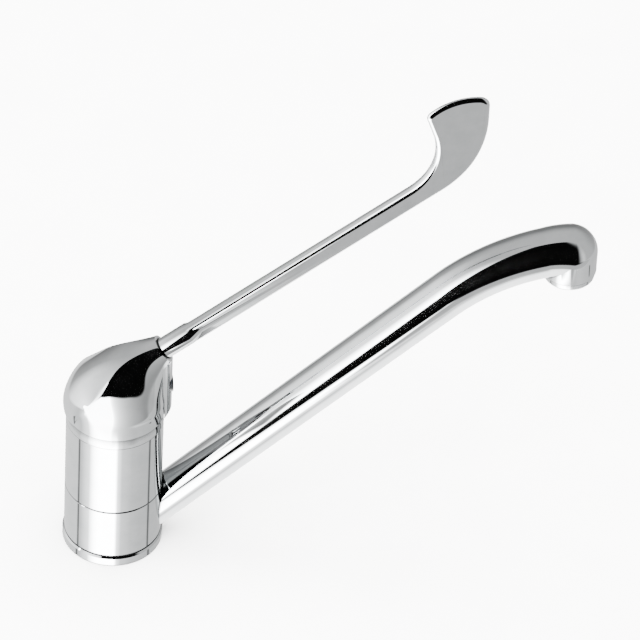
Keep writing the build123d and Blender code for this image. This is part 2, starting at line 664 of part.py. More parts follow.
def aerator_screen():
    z0, z1 = screen_levels()
    radius = NOZZLE_BORE_R - 2 * SEAT - AERATOR_WALL
    plate = disc(radius, z0, z1, NOZZLE_X)
    count = int((radius - AERATOR_LIP) / SCREEN_PITCH)
    for column in range(-count, count + 1):
        for row in range(-count, count + 1):
            x, y = column * SCREEN_PITCH, row * SCREEN_PITCH
            if (x * x + y * y) ** 0.5 + SCREEN_HOLE_W / 2 < radius - AERATOR_LIP:
                plate -= Pos(NOZZLE_X + x, y, (z0 + z1) / 2) * Box(SCREEN_HOLE_W, SCREEN_HOLE_W, SCREEN_T)
    return plate


def aerator_insert():
    z0 = screen_levels()[1]
    z1 = WASHER_Z0
    radius = NOZZLE_BORE_R - 2 * SEAT - AERATOR_WALL
    body = disc(radius, z0, z1, NOZZLE_X)
    for step in range(INSERT_JETS):
        turn = radians(step * 360 / INSERT_JETS)
        x, y = NOZZLE_X + INSERT_JET_RING * cos(turn), INSERT_JET_RING * sin(turn)
        body -= disc(INSERT_JET_R, z0, z1, x, y)
    return body


PIECES = {
    "base_ring": base_ring(),
    "base_gasket": base_gasket(),
    "lower_slip_ring": lower_slip_ring(),
    "upper_slip_ring": upper_slip_ring(),
    "lower_spout_seal": spout_seal(seal_levels()[0]),
    "upper_spout_seal": spout_seal(seal_levels()[1]),
    "mixer_body": mixer_body(),
    "cartridge_base": cartridge_base(),
    "port_seals": port_seals(),
    "disc_seal": disc_seal(),
    "fixed_disc": fixed_disc(),
    "moving_disc": moving_disc(),
    "disc_carrier": disc_carrier(),
    "rotor": rotor(),
    "rotor_seal": rotor_seal(),
    "pivot_pin": pivot_pin(),
    "cartridge_housing": cartridge_housing(),
    "cartridge_nut": cartridge_nut(),
    "trim_ring": trim_ring(),
    "spindle": spindle(),
    "handle_dome": handle_dome(),
    "handle_set_screw": handle_set_screw(),
    "indicator_plug": indicator_plug(),
    "lever": lever(),
    "lever_grub_screw": lever_grub_screw(),
    "spout": spout(),
    "aerator_housing": aerator_housing(),
    "aerator_gasket": aerator_gasket(),
    "aerator_screen": aerator_screen(),
    "aerator_insert": aerator_insert(),
}
os.makedirs("parts", exist_ok=True)
for name, piece in PIECES.items():
    export_step(piece, f"parts/{name}.step")
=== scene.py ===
import json
import math

import bmesh
import bpy
import numpy as np
from mathutils import Matrix, Vector


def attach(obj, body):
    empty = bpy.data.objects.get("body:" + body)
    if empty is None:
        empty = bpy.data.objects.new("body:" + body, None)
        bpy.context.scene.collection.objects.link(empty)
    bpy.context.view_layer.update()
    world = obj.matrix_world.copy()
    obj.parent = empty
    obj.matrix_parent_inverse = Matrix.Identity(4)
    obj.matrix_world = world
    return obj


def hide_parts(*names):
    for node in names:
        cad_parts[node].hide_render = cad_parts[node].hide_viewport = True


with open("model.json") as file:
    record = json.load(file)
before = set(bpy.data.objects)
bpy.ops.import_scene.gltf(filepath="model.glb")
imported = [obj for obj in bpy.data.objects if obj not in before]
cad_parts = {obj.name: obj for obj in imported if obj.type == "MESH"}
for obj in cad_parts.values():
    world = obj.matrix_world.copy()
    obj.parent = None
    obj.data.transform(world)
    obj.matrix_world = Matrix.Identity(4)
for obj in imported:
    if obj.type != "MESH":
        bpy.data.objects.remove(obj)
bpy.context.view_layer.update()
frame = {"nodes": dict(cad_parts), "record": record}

MM = 0.001
X_AXIS, Y_AXIS, Z_AXIS = Vector((1, 0, 0)), Vector((0, 1, 0)), Vector((0, 0, 1))

# Sizes of the pieces modelled here, in millimetres as in the solids
BODY_R = 24.5               # barrel and swivel ring
EDGE = 0.3                  # broken edge of turned pieces
FIT = 0.04                  # play of a piece fixed in its seat
WELD, RING_WELD = 0.002, 0.001      # distance of points that become one, in a solid and in a new ring
SMOOTH_UP_TO = math.radians(30.0)   # edges that turn more than this stay crisp
ROUND_POINTS = 160          # points round a turned piece

# Spout: swivel ring, straight tube, wide bend, small crook and nozzle
CORE_R = 19.08              # bore of the swivel ring
RING_Z0, RING_Z1 = 5.93, 35.63
RING_MID = (RING_Z0 + RING_Z1) / 2
SPOUT_RISE = math.radians(42.1)
BEND_TO = math.radians(10.0)        # rise where the bend passes into the crook
ROOT_R, BEND_TUBE_R, CROOK_TUBE_R, NOZZLE_R = 10.8, 11.6, 12.5, 13.6    # the tube widens all the way
BEND_X, BEND_R = 164.0, 98.0
NOZZLE_X, NOZZLE_DROP, NOZZLE_BORE_R, NOZZLE_BORE_H = 225.2, 11.4, 11.0, 7.5
BEND_Z = RING_MID + (BEND_X - BODY_R) * math.tan(SPOUT_RISE)
CROOK_X = BEND_X + BEND_R * (math.sin(SPOUT_RISE) - math.sin(BEND_TO))
CROOK_R = (NOZZLE_X - CROOK_X) / math.sin(BEND_TO) / 2
NOZZLE_Z = BEND_Z + BEND_R * (math.cos(BEND_TO) - math.cos(SPOUT_RISE))
STRAIGHT_RINGS, BEND_RINGS, CROOK_RINGS, END_RINGS = 90, 40, 20, 30
TUBE_POINTS = 96            # points round the tube and the nozzle

# Handle hood: skirt, crowned back, cheeks, the lever's boss and the column with the plug
SKIRT_Z, SKIRT_H, SKIRT_R, SKIRT_WALL = 85.86, 7.0, 24.9, 1.0
LIP, SKIRT_DRAFT = 0.4, 0.35        # chamfer at the skirt's foot, and how much the skirt draws in above it
FAN_UP = 11.0               # hinge of the fan of hood sections above the skirt's edge
BACK_BULGE, FOOT_BULGE, BOSS_BULGE = 1.5, 0.7, 0.0001   # how far the back stands out from the round
CREASE, FOOT_CREASE = math.radians(34.0), math.radians(29.0)    # from the middle of the back to the crease
BOSS_R, BOSS_X, BOSS_UP = 7.5, 23.6, 37.9
LEVER_RISE = math.radians(37.0)
CAVITY_TOP_R, CAVITY_CONE_H = 13.0, 9.0
COLUMN_X, COLUMN_R, COLUMN_DROP, COLUMN_CHAMFER = 28.3, 7.4, 4.6, 5.2
PLUG_R, PLUG_T, PLUG_UP, PLUG_OUT, PLUG_RIM = 5.0, 5.0, 14.9, 0.2, 0.5
CROWN_POINTS, CHEEK_POINTS, HOOD_STEPS = 33, 49, 70
COLUMN_STEPS, PLUG_POINTS, RIM_STEPS = 64, 64, 6
# The cheeks are faired in rounds. The fairing grows from none to full over a share of the cheek from the
# crease, over some rings above the skirt's foot, and over some rings below the boss.
CREASE_HOLD, SKIRT_HOLD, BOSS_HOLD, FAIR_ROUNDS = (0.02, 0.25), (14, 34), (1, 10), 300

# Lever: rod in the hood's boss, cone of the neck, flat bar, and the paddle that turns up at its end
ROD_R, ROD_OUT, ROD_IN, NECK_L = 5.5, 15.8, 13.0, 7.0
NECK_R = 1.7                # the cone runs on inside the bar to this radius
BAR_H, BAR_T, BAR_ROUND = 10.2, 6.0, 2.6
BELLY_AT, BELLY_R, TIP_RISE = 164.8, 53.5, 13.0     # underside: where it turns up, how wide, straight after
NAPE_AT, NAPE_R, NAPE_TURN, HEEL_RISE = 151.8, 30.9, math.radians(72.0), 12.0   # the same on the upper side
CREST_R, TIP_R, HEEL_R = 30.0, 5.5, 4.0             # paddle's top edge, and its corners in front and behind
PADDLE_FOOT, PADDLE_TOP, CREST_THIN = 222.0, 276.0, 0.55    # heights, and the share that it thins by
LOWER_SHARE = 0.4           # rounding of the lower edges, as a share of the upper ones'
EVEN_OUT = (math.radians(20.0), math.radians(52.0))     # turn of the belly over which they become the same
ARC_POINTS, CORNER_POINTS, CREST_POINTS, ROD_POINTS = 48, 16, 25, 80
BEVEL_STEPS, BEVEL_FROM = 10, math.radians(60.0)
BOSS = Vector((BOSS_X, 0, SKIRT_Z + BOSS_UP))
ALONG = Vector((math.cos(LEVER_RISE), 0, math.sin(LEVER_RISE)))
ACROSS = Vector((-math.sin(LEVER_RISE), 0, math.cos(LEVER_RISE)))

# Hood sections between skirt and boss: share of the fan, then distances from its hinge
# and half widths: back, crease, its half width, middle, its half width, shoulder, its half width, front
HOOD_SECTIONS = [
    (0.10, 66.3, 60.0, 17.0, 42.0, 24.0, 24.5, 15.7, 18.6),
    (0.25, 60.9, 54.8, 14.9, 40.0, 20.4, 24.0, 13.2, 18.0),
    (0.50, 52.0, 50.3, 9.2, 37.0, 11.9, 25.5, 9.6, 18.5),
    (0.75, 45.0, 44.5, 5.5, 34.0, 8.4, 26.0, 7.6, 21.5),
]


# Colours and nodes
NOISE_LOW, NOISE_HIGH = 0.3, 0.7        # most of a noise lies between these
NOISE_DETAIL, NOISE_ROUGHNESS = 4.0, 0.55
BUMP_STRENGTH = 0.3
SEAM_SHADE_DEPTH, SEAM_SHADE_RAYS = 6.0, 16         # how fast painted shade darkens metal in a seam, and the rays that feel for it


def linear(hex_colour):
    """Linear colour of an sRGB hex value."""
    parts = [int(hex_colour[i:i + 2], 16) / 255 for i in (1, 3, 5)]
    return tuple(c / 12.92 if c <= 0.04045 else ((c + 0.055) / 1.055) ** 2.4 for c in parts) + (1.0,)


def add(tree, kind, inputs=None, stops=(), **settings):
    """Adds a node with its settings, links and ramp stops, and gives its outputs.

    An input is a value, or an output to link.
    """
    node = tree.nodes.new(kind)
    for name, value in settings.items():
        setattr(node, name, value)
    for name, value in (inputs or {}).items():
        if isinstance(value, bpy.types.NodeSocket):
            tree.links.new(value, node.inputs[name])
        else:
            node.inputs[name].default_value = value
    if stops:
        marks = node.color_ramp.elements
        while len(marks) < len(stops):
            marks.new(0.5)      # its own place comes next
        for mark, (place, colour) in zip(marks, stops):
            mark.position = place
            mark.color = colour
    return node.outputs


def new_material(name):
    material = bpy.data.materials.new(name)
    material.use_nodes = True
    material.node_tree.nodes.clear()
    return material, material.node_tree


def surface(name, colours, metallic, roughness, grain_mm, bump_mm,
            ior=None, coat=0.0, stretch=(1, 1, 1), painted_seam_shade_mm=0.0):
    """Material with mottled colour, roughness and bump from one noise of a real grain size.

    Given a seam width in mm, painted shade darkens its colour in seams about as narrow as that.
    """
    material, tree = new_material(name)
    place = add(tree, "ShaderNodeTexCoord")["Object"]
    place = add(tree, "ShaderNodeMapping", {"Vector": place, "Scale": stretch})["Vector"]
    grain = add(tree, "ShaderNodeTexNoise", {
        "Vector": place, "Scale": 1 / (grain_mm * MM),
        "Detail": NOISE_DETAIL, "Roughness": NOISE_ROUGHNESS})["Fac"]
    stops = [(NOISE_LOW, linear(colours[0])), (NOISE_HIGH, linear(colours[1]))]
    colour = add(tree, "ShaderNodeValToRGB", {"Fac": grain}, stops)["Color"]
    # Painted shade: the colour is darkened where close surfaces hem it in, in seams, corners and near the
    # floor.
    if painted_seam_shade_mm:
        open_sky = add(tree, "ShaderNodeAmbientOcclusion", {"Distance": painted_seam_shade_mm * MM},
                       samples=SEAM_SHADE_RAYS)["AO"]
        shade = add(tree, "ShaderNodeMath", {0: open_sky, 1: SEAM_SHADE_DEPTH}, operation="POWER")["Value"]
        colour = add(tree, "ShaderNodeVectorMath", {0: colour, "Scale": shade}, operation="SCALE")["Vector"]
    rough = add(tree, "ShaderNodeMapRange", {
        "Value": grain, "From Min": NOISE_LOW, "From Max": NOISE_HIGH,
        "To Min": roughness[0], "To Max": roughness[1]})["Result"]
    bump = add(tree, "ShaderNodeBump", {
        "Height": grain, "Strength": BUMP_STRENGTH, "Distance": bump_mm * MM})["Normal"]
    finish = {"Base Color": colour, "Roughness": rough, "Normal": bump,
              "Metallic": metallic, "Coat Weight": coat}
    if ior:
        finish["IOR"] = ior
    shader = add(tree, "ShaderNodeBsdfPrincipled", finish)["BSDF"]
    add(tree, "ShaderNodeOutputMaterial", {"Surface": shader})
    return material


# Chrome plating over polished brass: a cool mirror, a little duller in clouds, with painted shade darkening
# it in the seams.
CHROME = surface("chrome_plating", ("#C6C9CA", "#D2D4D5"), metallic=1.0, roughness=(0.02, 0.05),
                 grain_mm=9.0, bump_mm=0.0, painted_seam_shade_mm=1.0)
# The same plating on the trim ring, with painted shade of wider reach for the shade under the handle's edge.
PAINTED_SHADE_CHROME = surface("chrome_plating_painted_shade", ("#C6C9CA", "#D2D4D5"), metallic=1.0, roughness=(0.03, 0.06),
                        grain_mm=9.0, bump_mm=0.0, painted_seam_shade_mm=4.0)
# Moulded acetal bearing rings: black and dull.
BLACK_ACETAL = surface("moulded_black_acetal", ("#141516", "#1E1F21"), metallic=0.0, roughness=(0.42, 0.55),
                       grain_mm=0.6, bump_mm=0.02, ior=1.48)
# Moulded rubber seals: dark and matt, with a fine bloom.
SEAL_RUBBER = surface("moulded_seal_rubber", ("#0F0F10", "#1A1A1B"), metallic=0.0, roughness=(0.65, 0.8),
                      grain_mm=0.5, bump_mm=0.03, ior=1.52)
# Lapped alumina valve discs: off-white and smooth.
ALUMINA = surface("lapped_alumina", ("#E6E3DC", "#EFEDE8"), metallic=0.0, roughness=(0.22, 0.32),
                  grain_mm=0.8, bump_mm=0.004, ior=1.76)
# Moulded white acetal cartridge pieces: milky, slightly glossy.
WHITE_ACETAL = surface("moulded_white_acetal", ("#DEDDD6", "#E9E8E3"), metallic=0.0, roughness=(0.32, 0.42),
                       grain_mm=1.2, bump_mm=0.01, ior=1.48)
# Turned brass: yellow, with fine rings from the lathe.
TURNED_BRASS = surface("turned_brass", ("#B48A45", "#CBA25B"), metallic=1.0, roughness=(0.22, 0.34),
                       grain_mm=0.8, bump_mm=0.01, stretch=(1, 1, 6))
# Turned stainless steel: grey, with fine rings from the lathe.
STAINLESS = surface("turned_stainless_steel", ("#9FA2A3", "#B6B8B9"), metallic=1.0, roughness=(0.2, 0.32),
                    grain_mm=0.7, bump_mm=0.01, stretch=(1, 1, 6))
# Moulded ABS indicator plug: near black and glossy.
PLUG_ABS = surface("moulded_black_abs", ("#0D0E10", "#17181B"), metallic=0.0, roughness=(0.12, 0.2),
                   grain_mm=1.5, bump_mm=0.01, ior=1.54, coat=0.3)
# Matt white paper under the tap: soft and even, hardly mottled.
FLOOR_PAPER = surface("matt_white_paper", ("#F2F2F1", "#F6F6F5"), metallic=0.0, roughness=(0.85, 0.95),
                      grain_mm=40.0, bump_mm=0.0)

FINISHES = {"chrome": CHROME, "black_plastic": BLACK_ACETAL, "rubber": SEAL_RUBBER, "ceramic": ALUMINA,
            "white_plastic": WHITE_ACETAL, "brass": TURNED_BRASS, "steel": STAINLESS, "plug": PLUG_ABS}
SLOT_OF = {row["node"]: row["material_slot"] for row in frame["record"]["subparts"]}
BODY_OF = {node: body for body, nodes in frame["record"]["behaviour"]["bodies"].items() for node in nodes}


# Modelling
def finish_with(obj, material):
    obj.data.materials.clear()
    obj.data.materials.append(material)


def only(obj):
    """Selects one object and makes it active."""
    bpy.ops.object.select_all(action="DESELECT")
    obj.select_set(True)
    bpy.context.view_layer.objects.active = obj


def dress(obj, node):
    """Shades a piece, gives it its node's finish and lets it stand for the node."""
    only(obj)
    bpy.ops.object.shade_smooth_by_angle(angle=SMOOTH_UP_TO)
    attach(obj, BODY_OF[node])
    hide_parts(node)
    finish_with(obj, FINISHES[SLOT_OF[node]])


def polished(node):
    """A node's own shape with its facets joined and shaded as one smooth skin."""
    only(frame["nodes"][node])
    bpy.ops.object.duplicate()
    obj = bpy.context.view_layer.objects.active
    obj.name = node + "_polished"
    bpy.ops.object.mode_set(mode="EDIT")
    bpy.ops.mesh.select_all(action="SELECT")
    bpy.ops.mesh.remove_doubles(threshold=WELD * MM)
    bpy.ops.object.mode_set(mode="OBJECT")
    bpy.ops.mesh.customdata_custom_splitnormals_clear()
    dress(obj, node)


def skin(name, rings, hollow=False):
    """Piece made by extruding a round face from ring to ring.

    A hollow one starts from an open circle, and its last ring lies on its first.
    """
    bpy.ops.object.select_all(action="DESELECT")
    count = len(rings[0])
    bpy.ops.mesh.primitive_circle_add(vertices=count, radius=MM, fill_type="NOTHING" if hollow else "NGON")
    obj = bpy.context.view_layer.objects.active
    obj.name = name
    bpy.ops.object.mode_set(mode="EDIT")
    for step, ring in enumerate(rings):
        if step:
            bpy.ops.mesh.extrude_region()
        mesh = bmesh.from_edit_mesh(obj.data)
        mesh.verts.ensure_lookup_table()
        for vert, place in zip(mesh.verts[-count:], ring):
            vert.co = Vector(place) * MM
    bpy.ops.mesh.select_all(action="SELECT")
    if hollow:
        bpy.ops.mesh.remove_doubles(threshold=RING_WELD * MM)
    bpy.ops.mesh.normals_make_consistent(inside=False)
    bpy.ops.object.mode_set(mode="OBJECT")
    return obj


def round_ring(centre, radius, side, up, count):
    """Points of a circle in the plane of two directions."""
    turns = [2 * math.pi * step / count for step in range(count)]
    return [centre + radius * (math.cos(turn) * side + math.sin(turn) * up) for turn in turns]


def turned(name, profile, x=0.0, count=ROUND_POINTS):
    """Piece turned about an upright axis from (radius, height) points, hollow if they close up."""
    rings = [round_ring(Vector((x, 0, z)), radius, X_AXIS, Y_AXIS, count) for radius, z in profile]
    return skin(name, rings, profile[0] == profile[-1])


def applied(obj, kind, **settings):
    """Adds a modifier with its settings and applies it."""
    only(obj)
    modifier = obj.modifiers.new("shape", kind)
    for name, value in settings.items():
        setattr(modifier, name, value)
    bpy.ops.object.modifier_apply(modifier=modifier.name)


def combine(obj, tool, operation):
    """Joins a second piece to the first or cuts it away, and removes the second."""
    applied(obj, "BOOLEAN", object=tool, operation=operation, solver="EXACT")
    bpy.data.objects.remove(tool)


def trim(obj, place, outward):
    """Cuts a piece off flat on a plane."""
    only(obj)
    bpy.ops.object.mode_set(mode="EDIT")
    bpy.ops.mesh.select_all(action="SELECT")
    bpy.ops.mesh.bisect(plane_co=place * MM, plane_no=outward, use_fill=True, clear_outer=True)
    bpy.ops.object.mode_set(mode="OBJECT")


def cubic(points, shares, first=None, last=None):
    """Places on a cubic spline through points, at shares of its length; an end may have a direction."""
    points = np.array(points, dtype=float)
    steps = np.linalg.norm(np.diff(points, axis=0), axis=1)
    count = len(points)
    slopes = np.diff(points, axis=0) / steps[:, None]
    matrix, right_side = np.zeros((count, count)), np.zeros(points.shape)
    matrix[0, 0] = matrix[-1, -1] = 1.0
    if first is not None:
        matrix[0, :2] = 2 * steps[0], steps[0]
        right_side[0] = 6 * (slopes[0] - np.array(first))
    if last is not None:
        matrix[-1, -2:] = steps[-1], 2 * steps[-1]
        right_side[-1] = 6 * (np.array(last) - slopes[-1])
    for i in range(1, count - 1):
        matrix[i, i - 1:i + 2] = steps[i - 1], 2 * (steps[i - 1] + steps[i]), steps[i]
        right_side[i] = 6 * (slopes[i] - slopes[i - 1])
    bends = np.linalg.solve(matrix, right_side)
    knots = np.concatenate(([0.0], np.cumsum(steps)))
    places = []
    for at in np.array(shares) * knots[-1]:
        i = min(np.searchsorted(knots, at, side="right") - 1, count - 2)
        a, b = knots[i + 1] - at, at - knots[i]
        h = steps[i]
        start, end = points[i] / h - bends[i] * h / 6, points[i + 1] / h - bends[i + 1] * h / 6
        places.append((bends[i] * a ** 3 + bends[i + 1] * b ** 3) / (6 * h) + start * a + end * b)
    return places


def smooth_step(value, first, last):
    """0 before the first level, 1 after the last, and an even swing between them."""
    share = min(max((value - first) / (last - first), 0), 1)
    return share * share * (3 - 2 * share)


# Spout
def tube_arc(start, radius, rise_from, rise_to, share):
    """Place on an upright arc of the tube, where its rise has changed by a share, and that rise."""
    rise = rise_from + share * (rise_to - rise_from)
    out, up = math.sin(rise_from) - math.sin(rise), math.cos(rise) - math.cos(rise_from)
    return start + radius * Vector((out, 0, up)), rise


def spout_rings():
    """Rings of the tube up the straight, round the bend and the crook, and over its rounded end."""
    stations = []
    start = Vector((BODY_R - ROOT_R * math.cos(SPOUT_RISE), 0, RING_MID - ROOT_R * math.sin(SPOUT_RISE)))
    bend = Vector((BEND_X, 0, BEND_Z))
    for step in range(STRAIGHT_RINGS):
        share = step / STRAIGHT_RINGS
        stations.append((start.lerp(bend, share), SPOUT_RISE, ROOT_R + share * (BEND_TUBE_R - ROOT_R)))
    for step in range(BEND_RINGS):
        share = step / BEND_RINGS
        place, rise = tube_arc(bend, BEND_R, SPOUT_RISE, BEND_TO, share)
        stations.append((place, rise, BEND_TUBE_R + share * (CROOK_TUBE_R - BEND_TUBE_R)))
    crook = Vector((CROOK_X, 0, NOZZLE_Z))
    for step in range(CROOK_RINGS + 1):
        share = step / CROOK_RINGS
        place, rise = tube_arc(crook, CROOK_R, BEND_TO, -BEND_TO, share)
        stations.append((place, rise, CROOK_TUBE_R + share * (NOZZLE_R - CROOK_TUBE_R)))
    end = stations[-1][0]
    heading = Vector((math.cos(BEND_TO), 0, -math.sin(BEND_TO)))
    for step in range(1, END_RINGS):
        turn = math.radians(90 * step / END_RINGS)
        stations.append((end + NOZZLE_R * math.sin(turn) * heading, -BEND_TO, NOZZLE_R * math.cos(turn)))
    rings = []
    for place, rise, radius in stations:
        up = Vector((-math.sin(rise), 0, math.cos(rise)))
        rings.append(round_ring(place, radius, Y_AXIS, up, TUBE_POINTS))
    return rings


def spout():
    arm = skin("spout_polished", spout_rings())
    middle = (BODY_R + CORE_R) / 2
    combine(arm, turned("core", [(middle, 0), (middle, RING_Z1)]), "DIFFERENCE")
    trim(arm, Vector((0, 0, RING_Z0 + EDGE)), -Z_AXIS)
    mouth = NOZZLE_Z - NOZZLE_DROP
    combine(arm, turned("nozzle", [
        (NOZZLE_BORE_R, mouth + NOZZLE_BORE_H), (NOZZLE_BORE_R, mouth), (NOZZLE_R - EDGE, mouth),
        (NOZZLE_R - FIT, mouth + EDGE), (NOZZLE_R - FIT, NOZZLE_Z)], NOZZLE_X, TUBE_POINTS), "UNION")
    combine(arm, turned("swivel", [
        (CORE_R, RING_Z0), (BODY_R - EDGE, RING_Z0), (BODY_R, RING_Z0 + EDGE), (BODY_R, RING_Z1 - EDGE),
        (BODY_R - EDGE, RING_Z1), (CORE_R, RING_Z1), (CORE_R, RING_Z0)]), "UNION")
    dress(arm, "spout")


# Handle hood
def fan_place(share, distance, across):
    """Point in a fan plane, from its distance to the hinge and its place across the tap."""
    level = SKIRT_Z + FAN_UP
    hinge = BOSS_X + (BOSS.z - level) * math.tan(LEVER_RISE)
    turn = share * (math.pi / 2 - LEVER_RISE)
    return Vector((hinge - distance * math.cos(turn), across, level + distance * math.sin(turn)))


def arc_through(first, middle, last, count):
    """Points on the circle through three points of a plane."""
    (ax, ay), (bx, by), (cx, cy) = first, middle, last
    twice = 2 * (ax * (by - cy) + bx * (cy - ay) + cx * (ay - by))
    a, b, c = ax * ax + ay * ay, bx * bx + by * by, cx * cx + cy * cy
    x = (a * (by - cy) + b * (cy - ay) + c * (ay - by)) / twice
    y = (a * (cx - bx) + b * (ax - cx) + c * (bx - ax)) / twice
    start, end = math.atan2(ay - y, ax - x), math.atan2(cy - y, cx - x)
    radius = math.hypot(ax - x, ay - y)
    turns = [start + (end - start) * step / (count - 1) for step in range(count)]
    return [(x + radius * math.cos(turn), y + radius * math.sin(turn)) for turn in turns]


def hood_ring(crown, cheek):
    """Ring from the front along one cheek, over the crown and back along the other cheek."""
    far = [(x, -y) for x, y in reversed(cheek)]
    return far[:-1] + crown + cheek[1:-1]


def round_outline(radius, bulge, crease):
    """Skirt or boss outline about its own centre, x pointing back."""
    corner = (radius * math.cos(crease), radius * math.sin(crease))
    crown = arc_through((corner[0], -corner[1]), (radius + bulge, 0), corner, CROWN_POINTS)
    turns = [crease + (math.pi - crease) * step / (CHEEK_POINTS - 1) for step in range(CHEEK_POINTS)]
    return hood_ring(crown, [(radius * math.cos(turn), radius * math.sin(turn)) for turn in turns])


def fan_outline(back, crease, crease_y, middle, middle_y, shoulder, shoulder_y, front):
    """Hood outline in a fan plane: crowned back, a crease on each side, cheeks that meet in front."""
    crown = arc_through((crease, -crease_y), (back, 0), (crease, crease_y), CROWN_POINTS)
    points = [(crease, crease_y), (middle, middle_y), (shoulder, shoulder_y), (front, 0)]
    start = np.array((middle - crease, middle_y - crease_y))
    shares = [step / (CHEEK_POINTS - 1) for step in range(CHEEK_POINTS)]
    cheek = [tuple(place) for place in cubic(points, shares, start / np.linalg.norm(start), (0, -1))]
    return hood_ring(crown, cheek)


def faired(rings):
    """Rings with the cheeks relaxed towards their neighbours; crown, skirt and boss stay."""
    last = CHEEK_POINTS - 1
    to_crown, from_crown = [1 - i / last for i in range(last)], [i / last for i in range(1, last)]
    from_crease = to_crown + [0] * CROWN_POINTS + from_crown
    along = [smooth_step(share, *CREASE_HOLD) for share in from_crease]
    up = []
    for row in range(len(rings)):
        up.append(smooth_step(row, *SKIRT_HOLD) * smooth_step(len(rings) - row, *BOSS_HOLD))
    weight = np.outer(up, along)[:, :, None] / 2
    places = np.array(rings)
    for _ in range(FAIR_ROUNDS):
        up_and_down = places.copy()
        up_and_down[1:-1] = (places[:-2] + places[2:]) / 2
        sideways = (np.roll(places, 1, axis=1) + np.roll(places, -1, axis=1)) / 2
        places += weight * ((up_and_down + sideways) / 2 - places)
    return [[Vector(place) for place in ring] for ring in places]


def hood_rings():
    """Rings from the cavity's ceiling down, round the skirt's edge, up over the hood and into the boss."""
    skirt_top, inner = SKIRT_Z + SKIRT_H, SKIRT_R - SKIRT_WALL
    foot = [Vector((-x, y, SKIRT_Z)) for x, y in round_outline(SKIRT_R, FOOT_BULGE, FOOT_CREASE)]
    upper = [Vector((-x, y, skirt_top)) for x, y in round_outline(SKIRT_R - SKIRT_DRAFT, BACK_BULGE, CREASE)]
    sections = [foot, upper]
    for share, *sizes in HOOD_SECTIONS:
        sections.append([fan_place(share, x, y) for x, y in fan_outline(*sizes)])
    face = [BOSS + x * ACROSS + Vector((0, y, 0)) for x, y in round_outline(BOSS_R, BOSS_BULGE, CREASE)]
    sections.append(face)
    shares = [step / HOOD_STEPS for step in range(HOOD_STEPS + 1)]
    lines = [cubic([section[i] for section in sections], shares) for i in range(len(foot))]
    outside = faired([[line[step] for line in lines] for step in range(len(shares))])
    cavity = []
    for radius, z in ((CAVITY_TOP_R, skirt_top + CAVITY_CONE_H), (inner, skirt_top), (inner, SKIRT_Z)):
        cavity.append([Vector((radius * p.x / p.xy.length, radius * p.y / p.xy.length, z)) for p in foot])
    cavity.append([Vector(((1 - LIP / SKIRT_R) * p.x, (1 - LIP / SKIRT_R) * p.y, SKIRT_Z)) for p in foot])
    outside[0] = [p + Vector((0, 0, LIP)) for p in foot]
    socket = (ROD_R + FIT) / BOSS_R
    mouth = [BOSS + (p - BOSS) * socket for p in face]
    return cavity + outside + [mouth, [p - ROD_IN * ALONG for p in mouth]]


def hood_column():
    """Rounded column down the front of the hood, sloped in at its foot and cut clear of the cavity."""
    z0 = SKIRT_Z - COLUMN_DROP
    centre, radius = COLUMN_X - COLUMN_R, COLUMN_R
    back = CAVITY_TOP_R
    outline = [(back, -radius), (back, radius)]
    for step in range(COLUMN_STEPS + 1):
        turn = math.pi / 2 - math.pi * step / COLUMN_STEPS
        outline.append((centre + radius * math.cos(turn), radius * math.sin(turn)))
    obj = skin("column", [[(x, y, z) for x, y in outline] for z in (z0, BOSS.z + BOSS_R)])
    trim(obj, BOSS, ACROSS)
    trim(obj, BOSS - FIT * ALONG, ALONG)
    trim(obj, Vector((COLUMN_X, 0, z0 + COLUMN_CHAMFER)), (X_AXIS - Z_AXIS).normalized())
    inner = SKIRT_R - SKIRT_WALL
    z1 = SKIRT_Z + SKIRT_H
    clear = BODY_R + EDGE
    combine(obj, turned("hollow", [(clear, 0), (clear, SKIRT_Z), (inner, SKIRT_Z), (inner, z1),
                                   (CAVITY_TOP_R, z1 + CAVITY_CONE_H)]), "DIFFERENCE")
    return obj


def front_rings(profile):
    """Rings about the plug's axis, which runs to the front, from (radius, x) points."""
    centre = Vector((0, 0, SKIRT_Z + PLUG_UP))
    return [round_ring(centre + x * X_AXIS, radius, Y_AXIS, Z_AXIS, PLUG_POINTS) for radius, x in profile]


def handle_dome():
    hood = skin("handle_dome_polished", hood_rings())
    combine(hood, hood_column(), "UNION")
    bore = [(PLUG_R + FIT, COLUMN_X - PLUG_T), (PLUG_R + FIT, COLUMN_X + PLUG_R)]
    combine(hood, skin("bore", front_rings(bore)), "DIFFERENCE")
    dress(hood, "handle_dome")


def indicator_plug():
    """Round plug with a rolled rim and a face that is dished a little."""
    face = COLUMN_X + PLUG_OUT
    inner, foot = PLUG_R - PLUG_RIM, face - PLUG_RIM
    profile = [(PLUG_R, COLUMN_X - PLUG_T), (PLUG_R, foot)]
    for step in range(1, RIM_STEPS + 1):
        turn = math.radians(90 * step / RIM_STEPS)
        profile.append((inner + PLUG_RIM * math.cos(turn), foot + PLUG_RIM * math.sin(turn)))
    profile += [(PLUG_R - 2 * PLUG_RIM, face - PLUG_RIM / 4), (PLUG_RIM, face - PLUG_RIM / 2)]
    dress(skin("indicator_plug_polished", front_rings(profile)), "indicator_plug")


# Lever
def side_arc(start, heading, radius, turn):
    """Points after the start of an arc that turns left by an angle, and its last heading."""
    centre = (start[0] - radius * math.sin(heading), start[1] + radius * math.cos(heading))
    places = []
    for step in range(1, ARC_POINTS + 1):
        angle = heading + turn * step / ARC_POINTS
        places.append((centre[0] + radius * math.sin(angle), centre[1] - radius * math.cos(angle)))
    return places, heading + turn


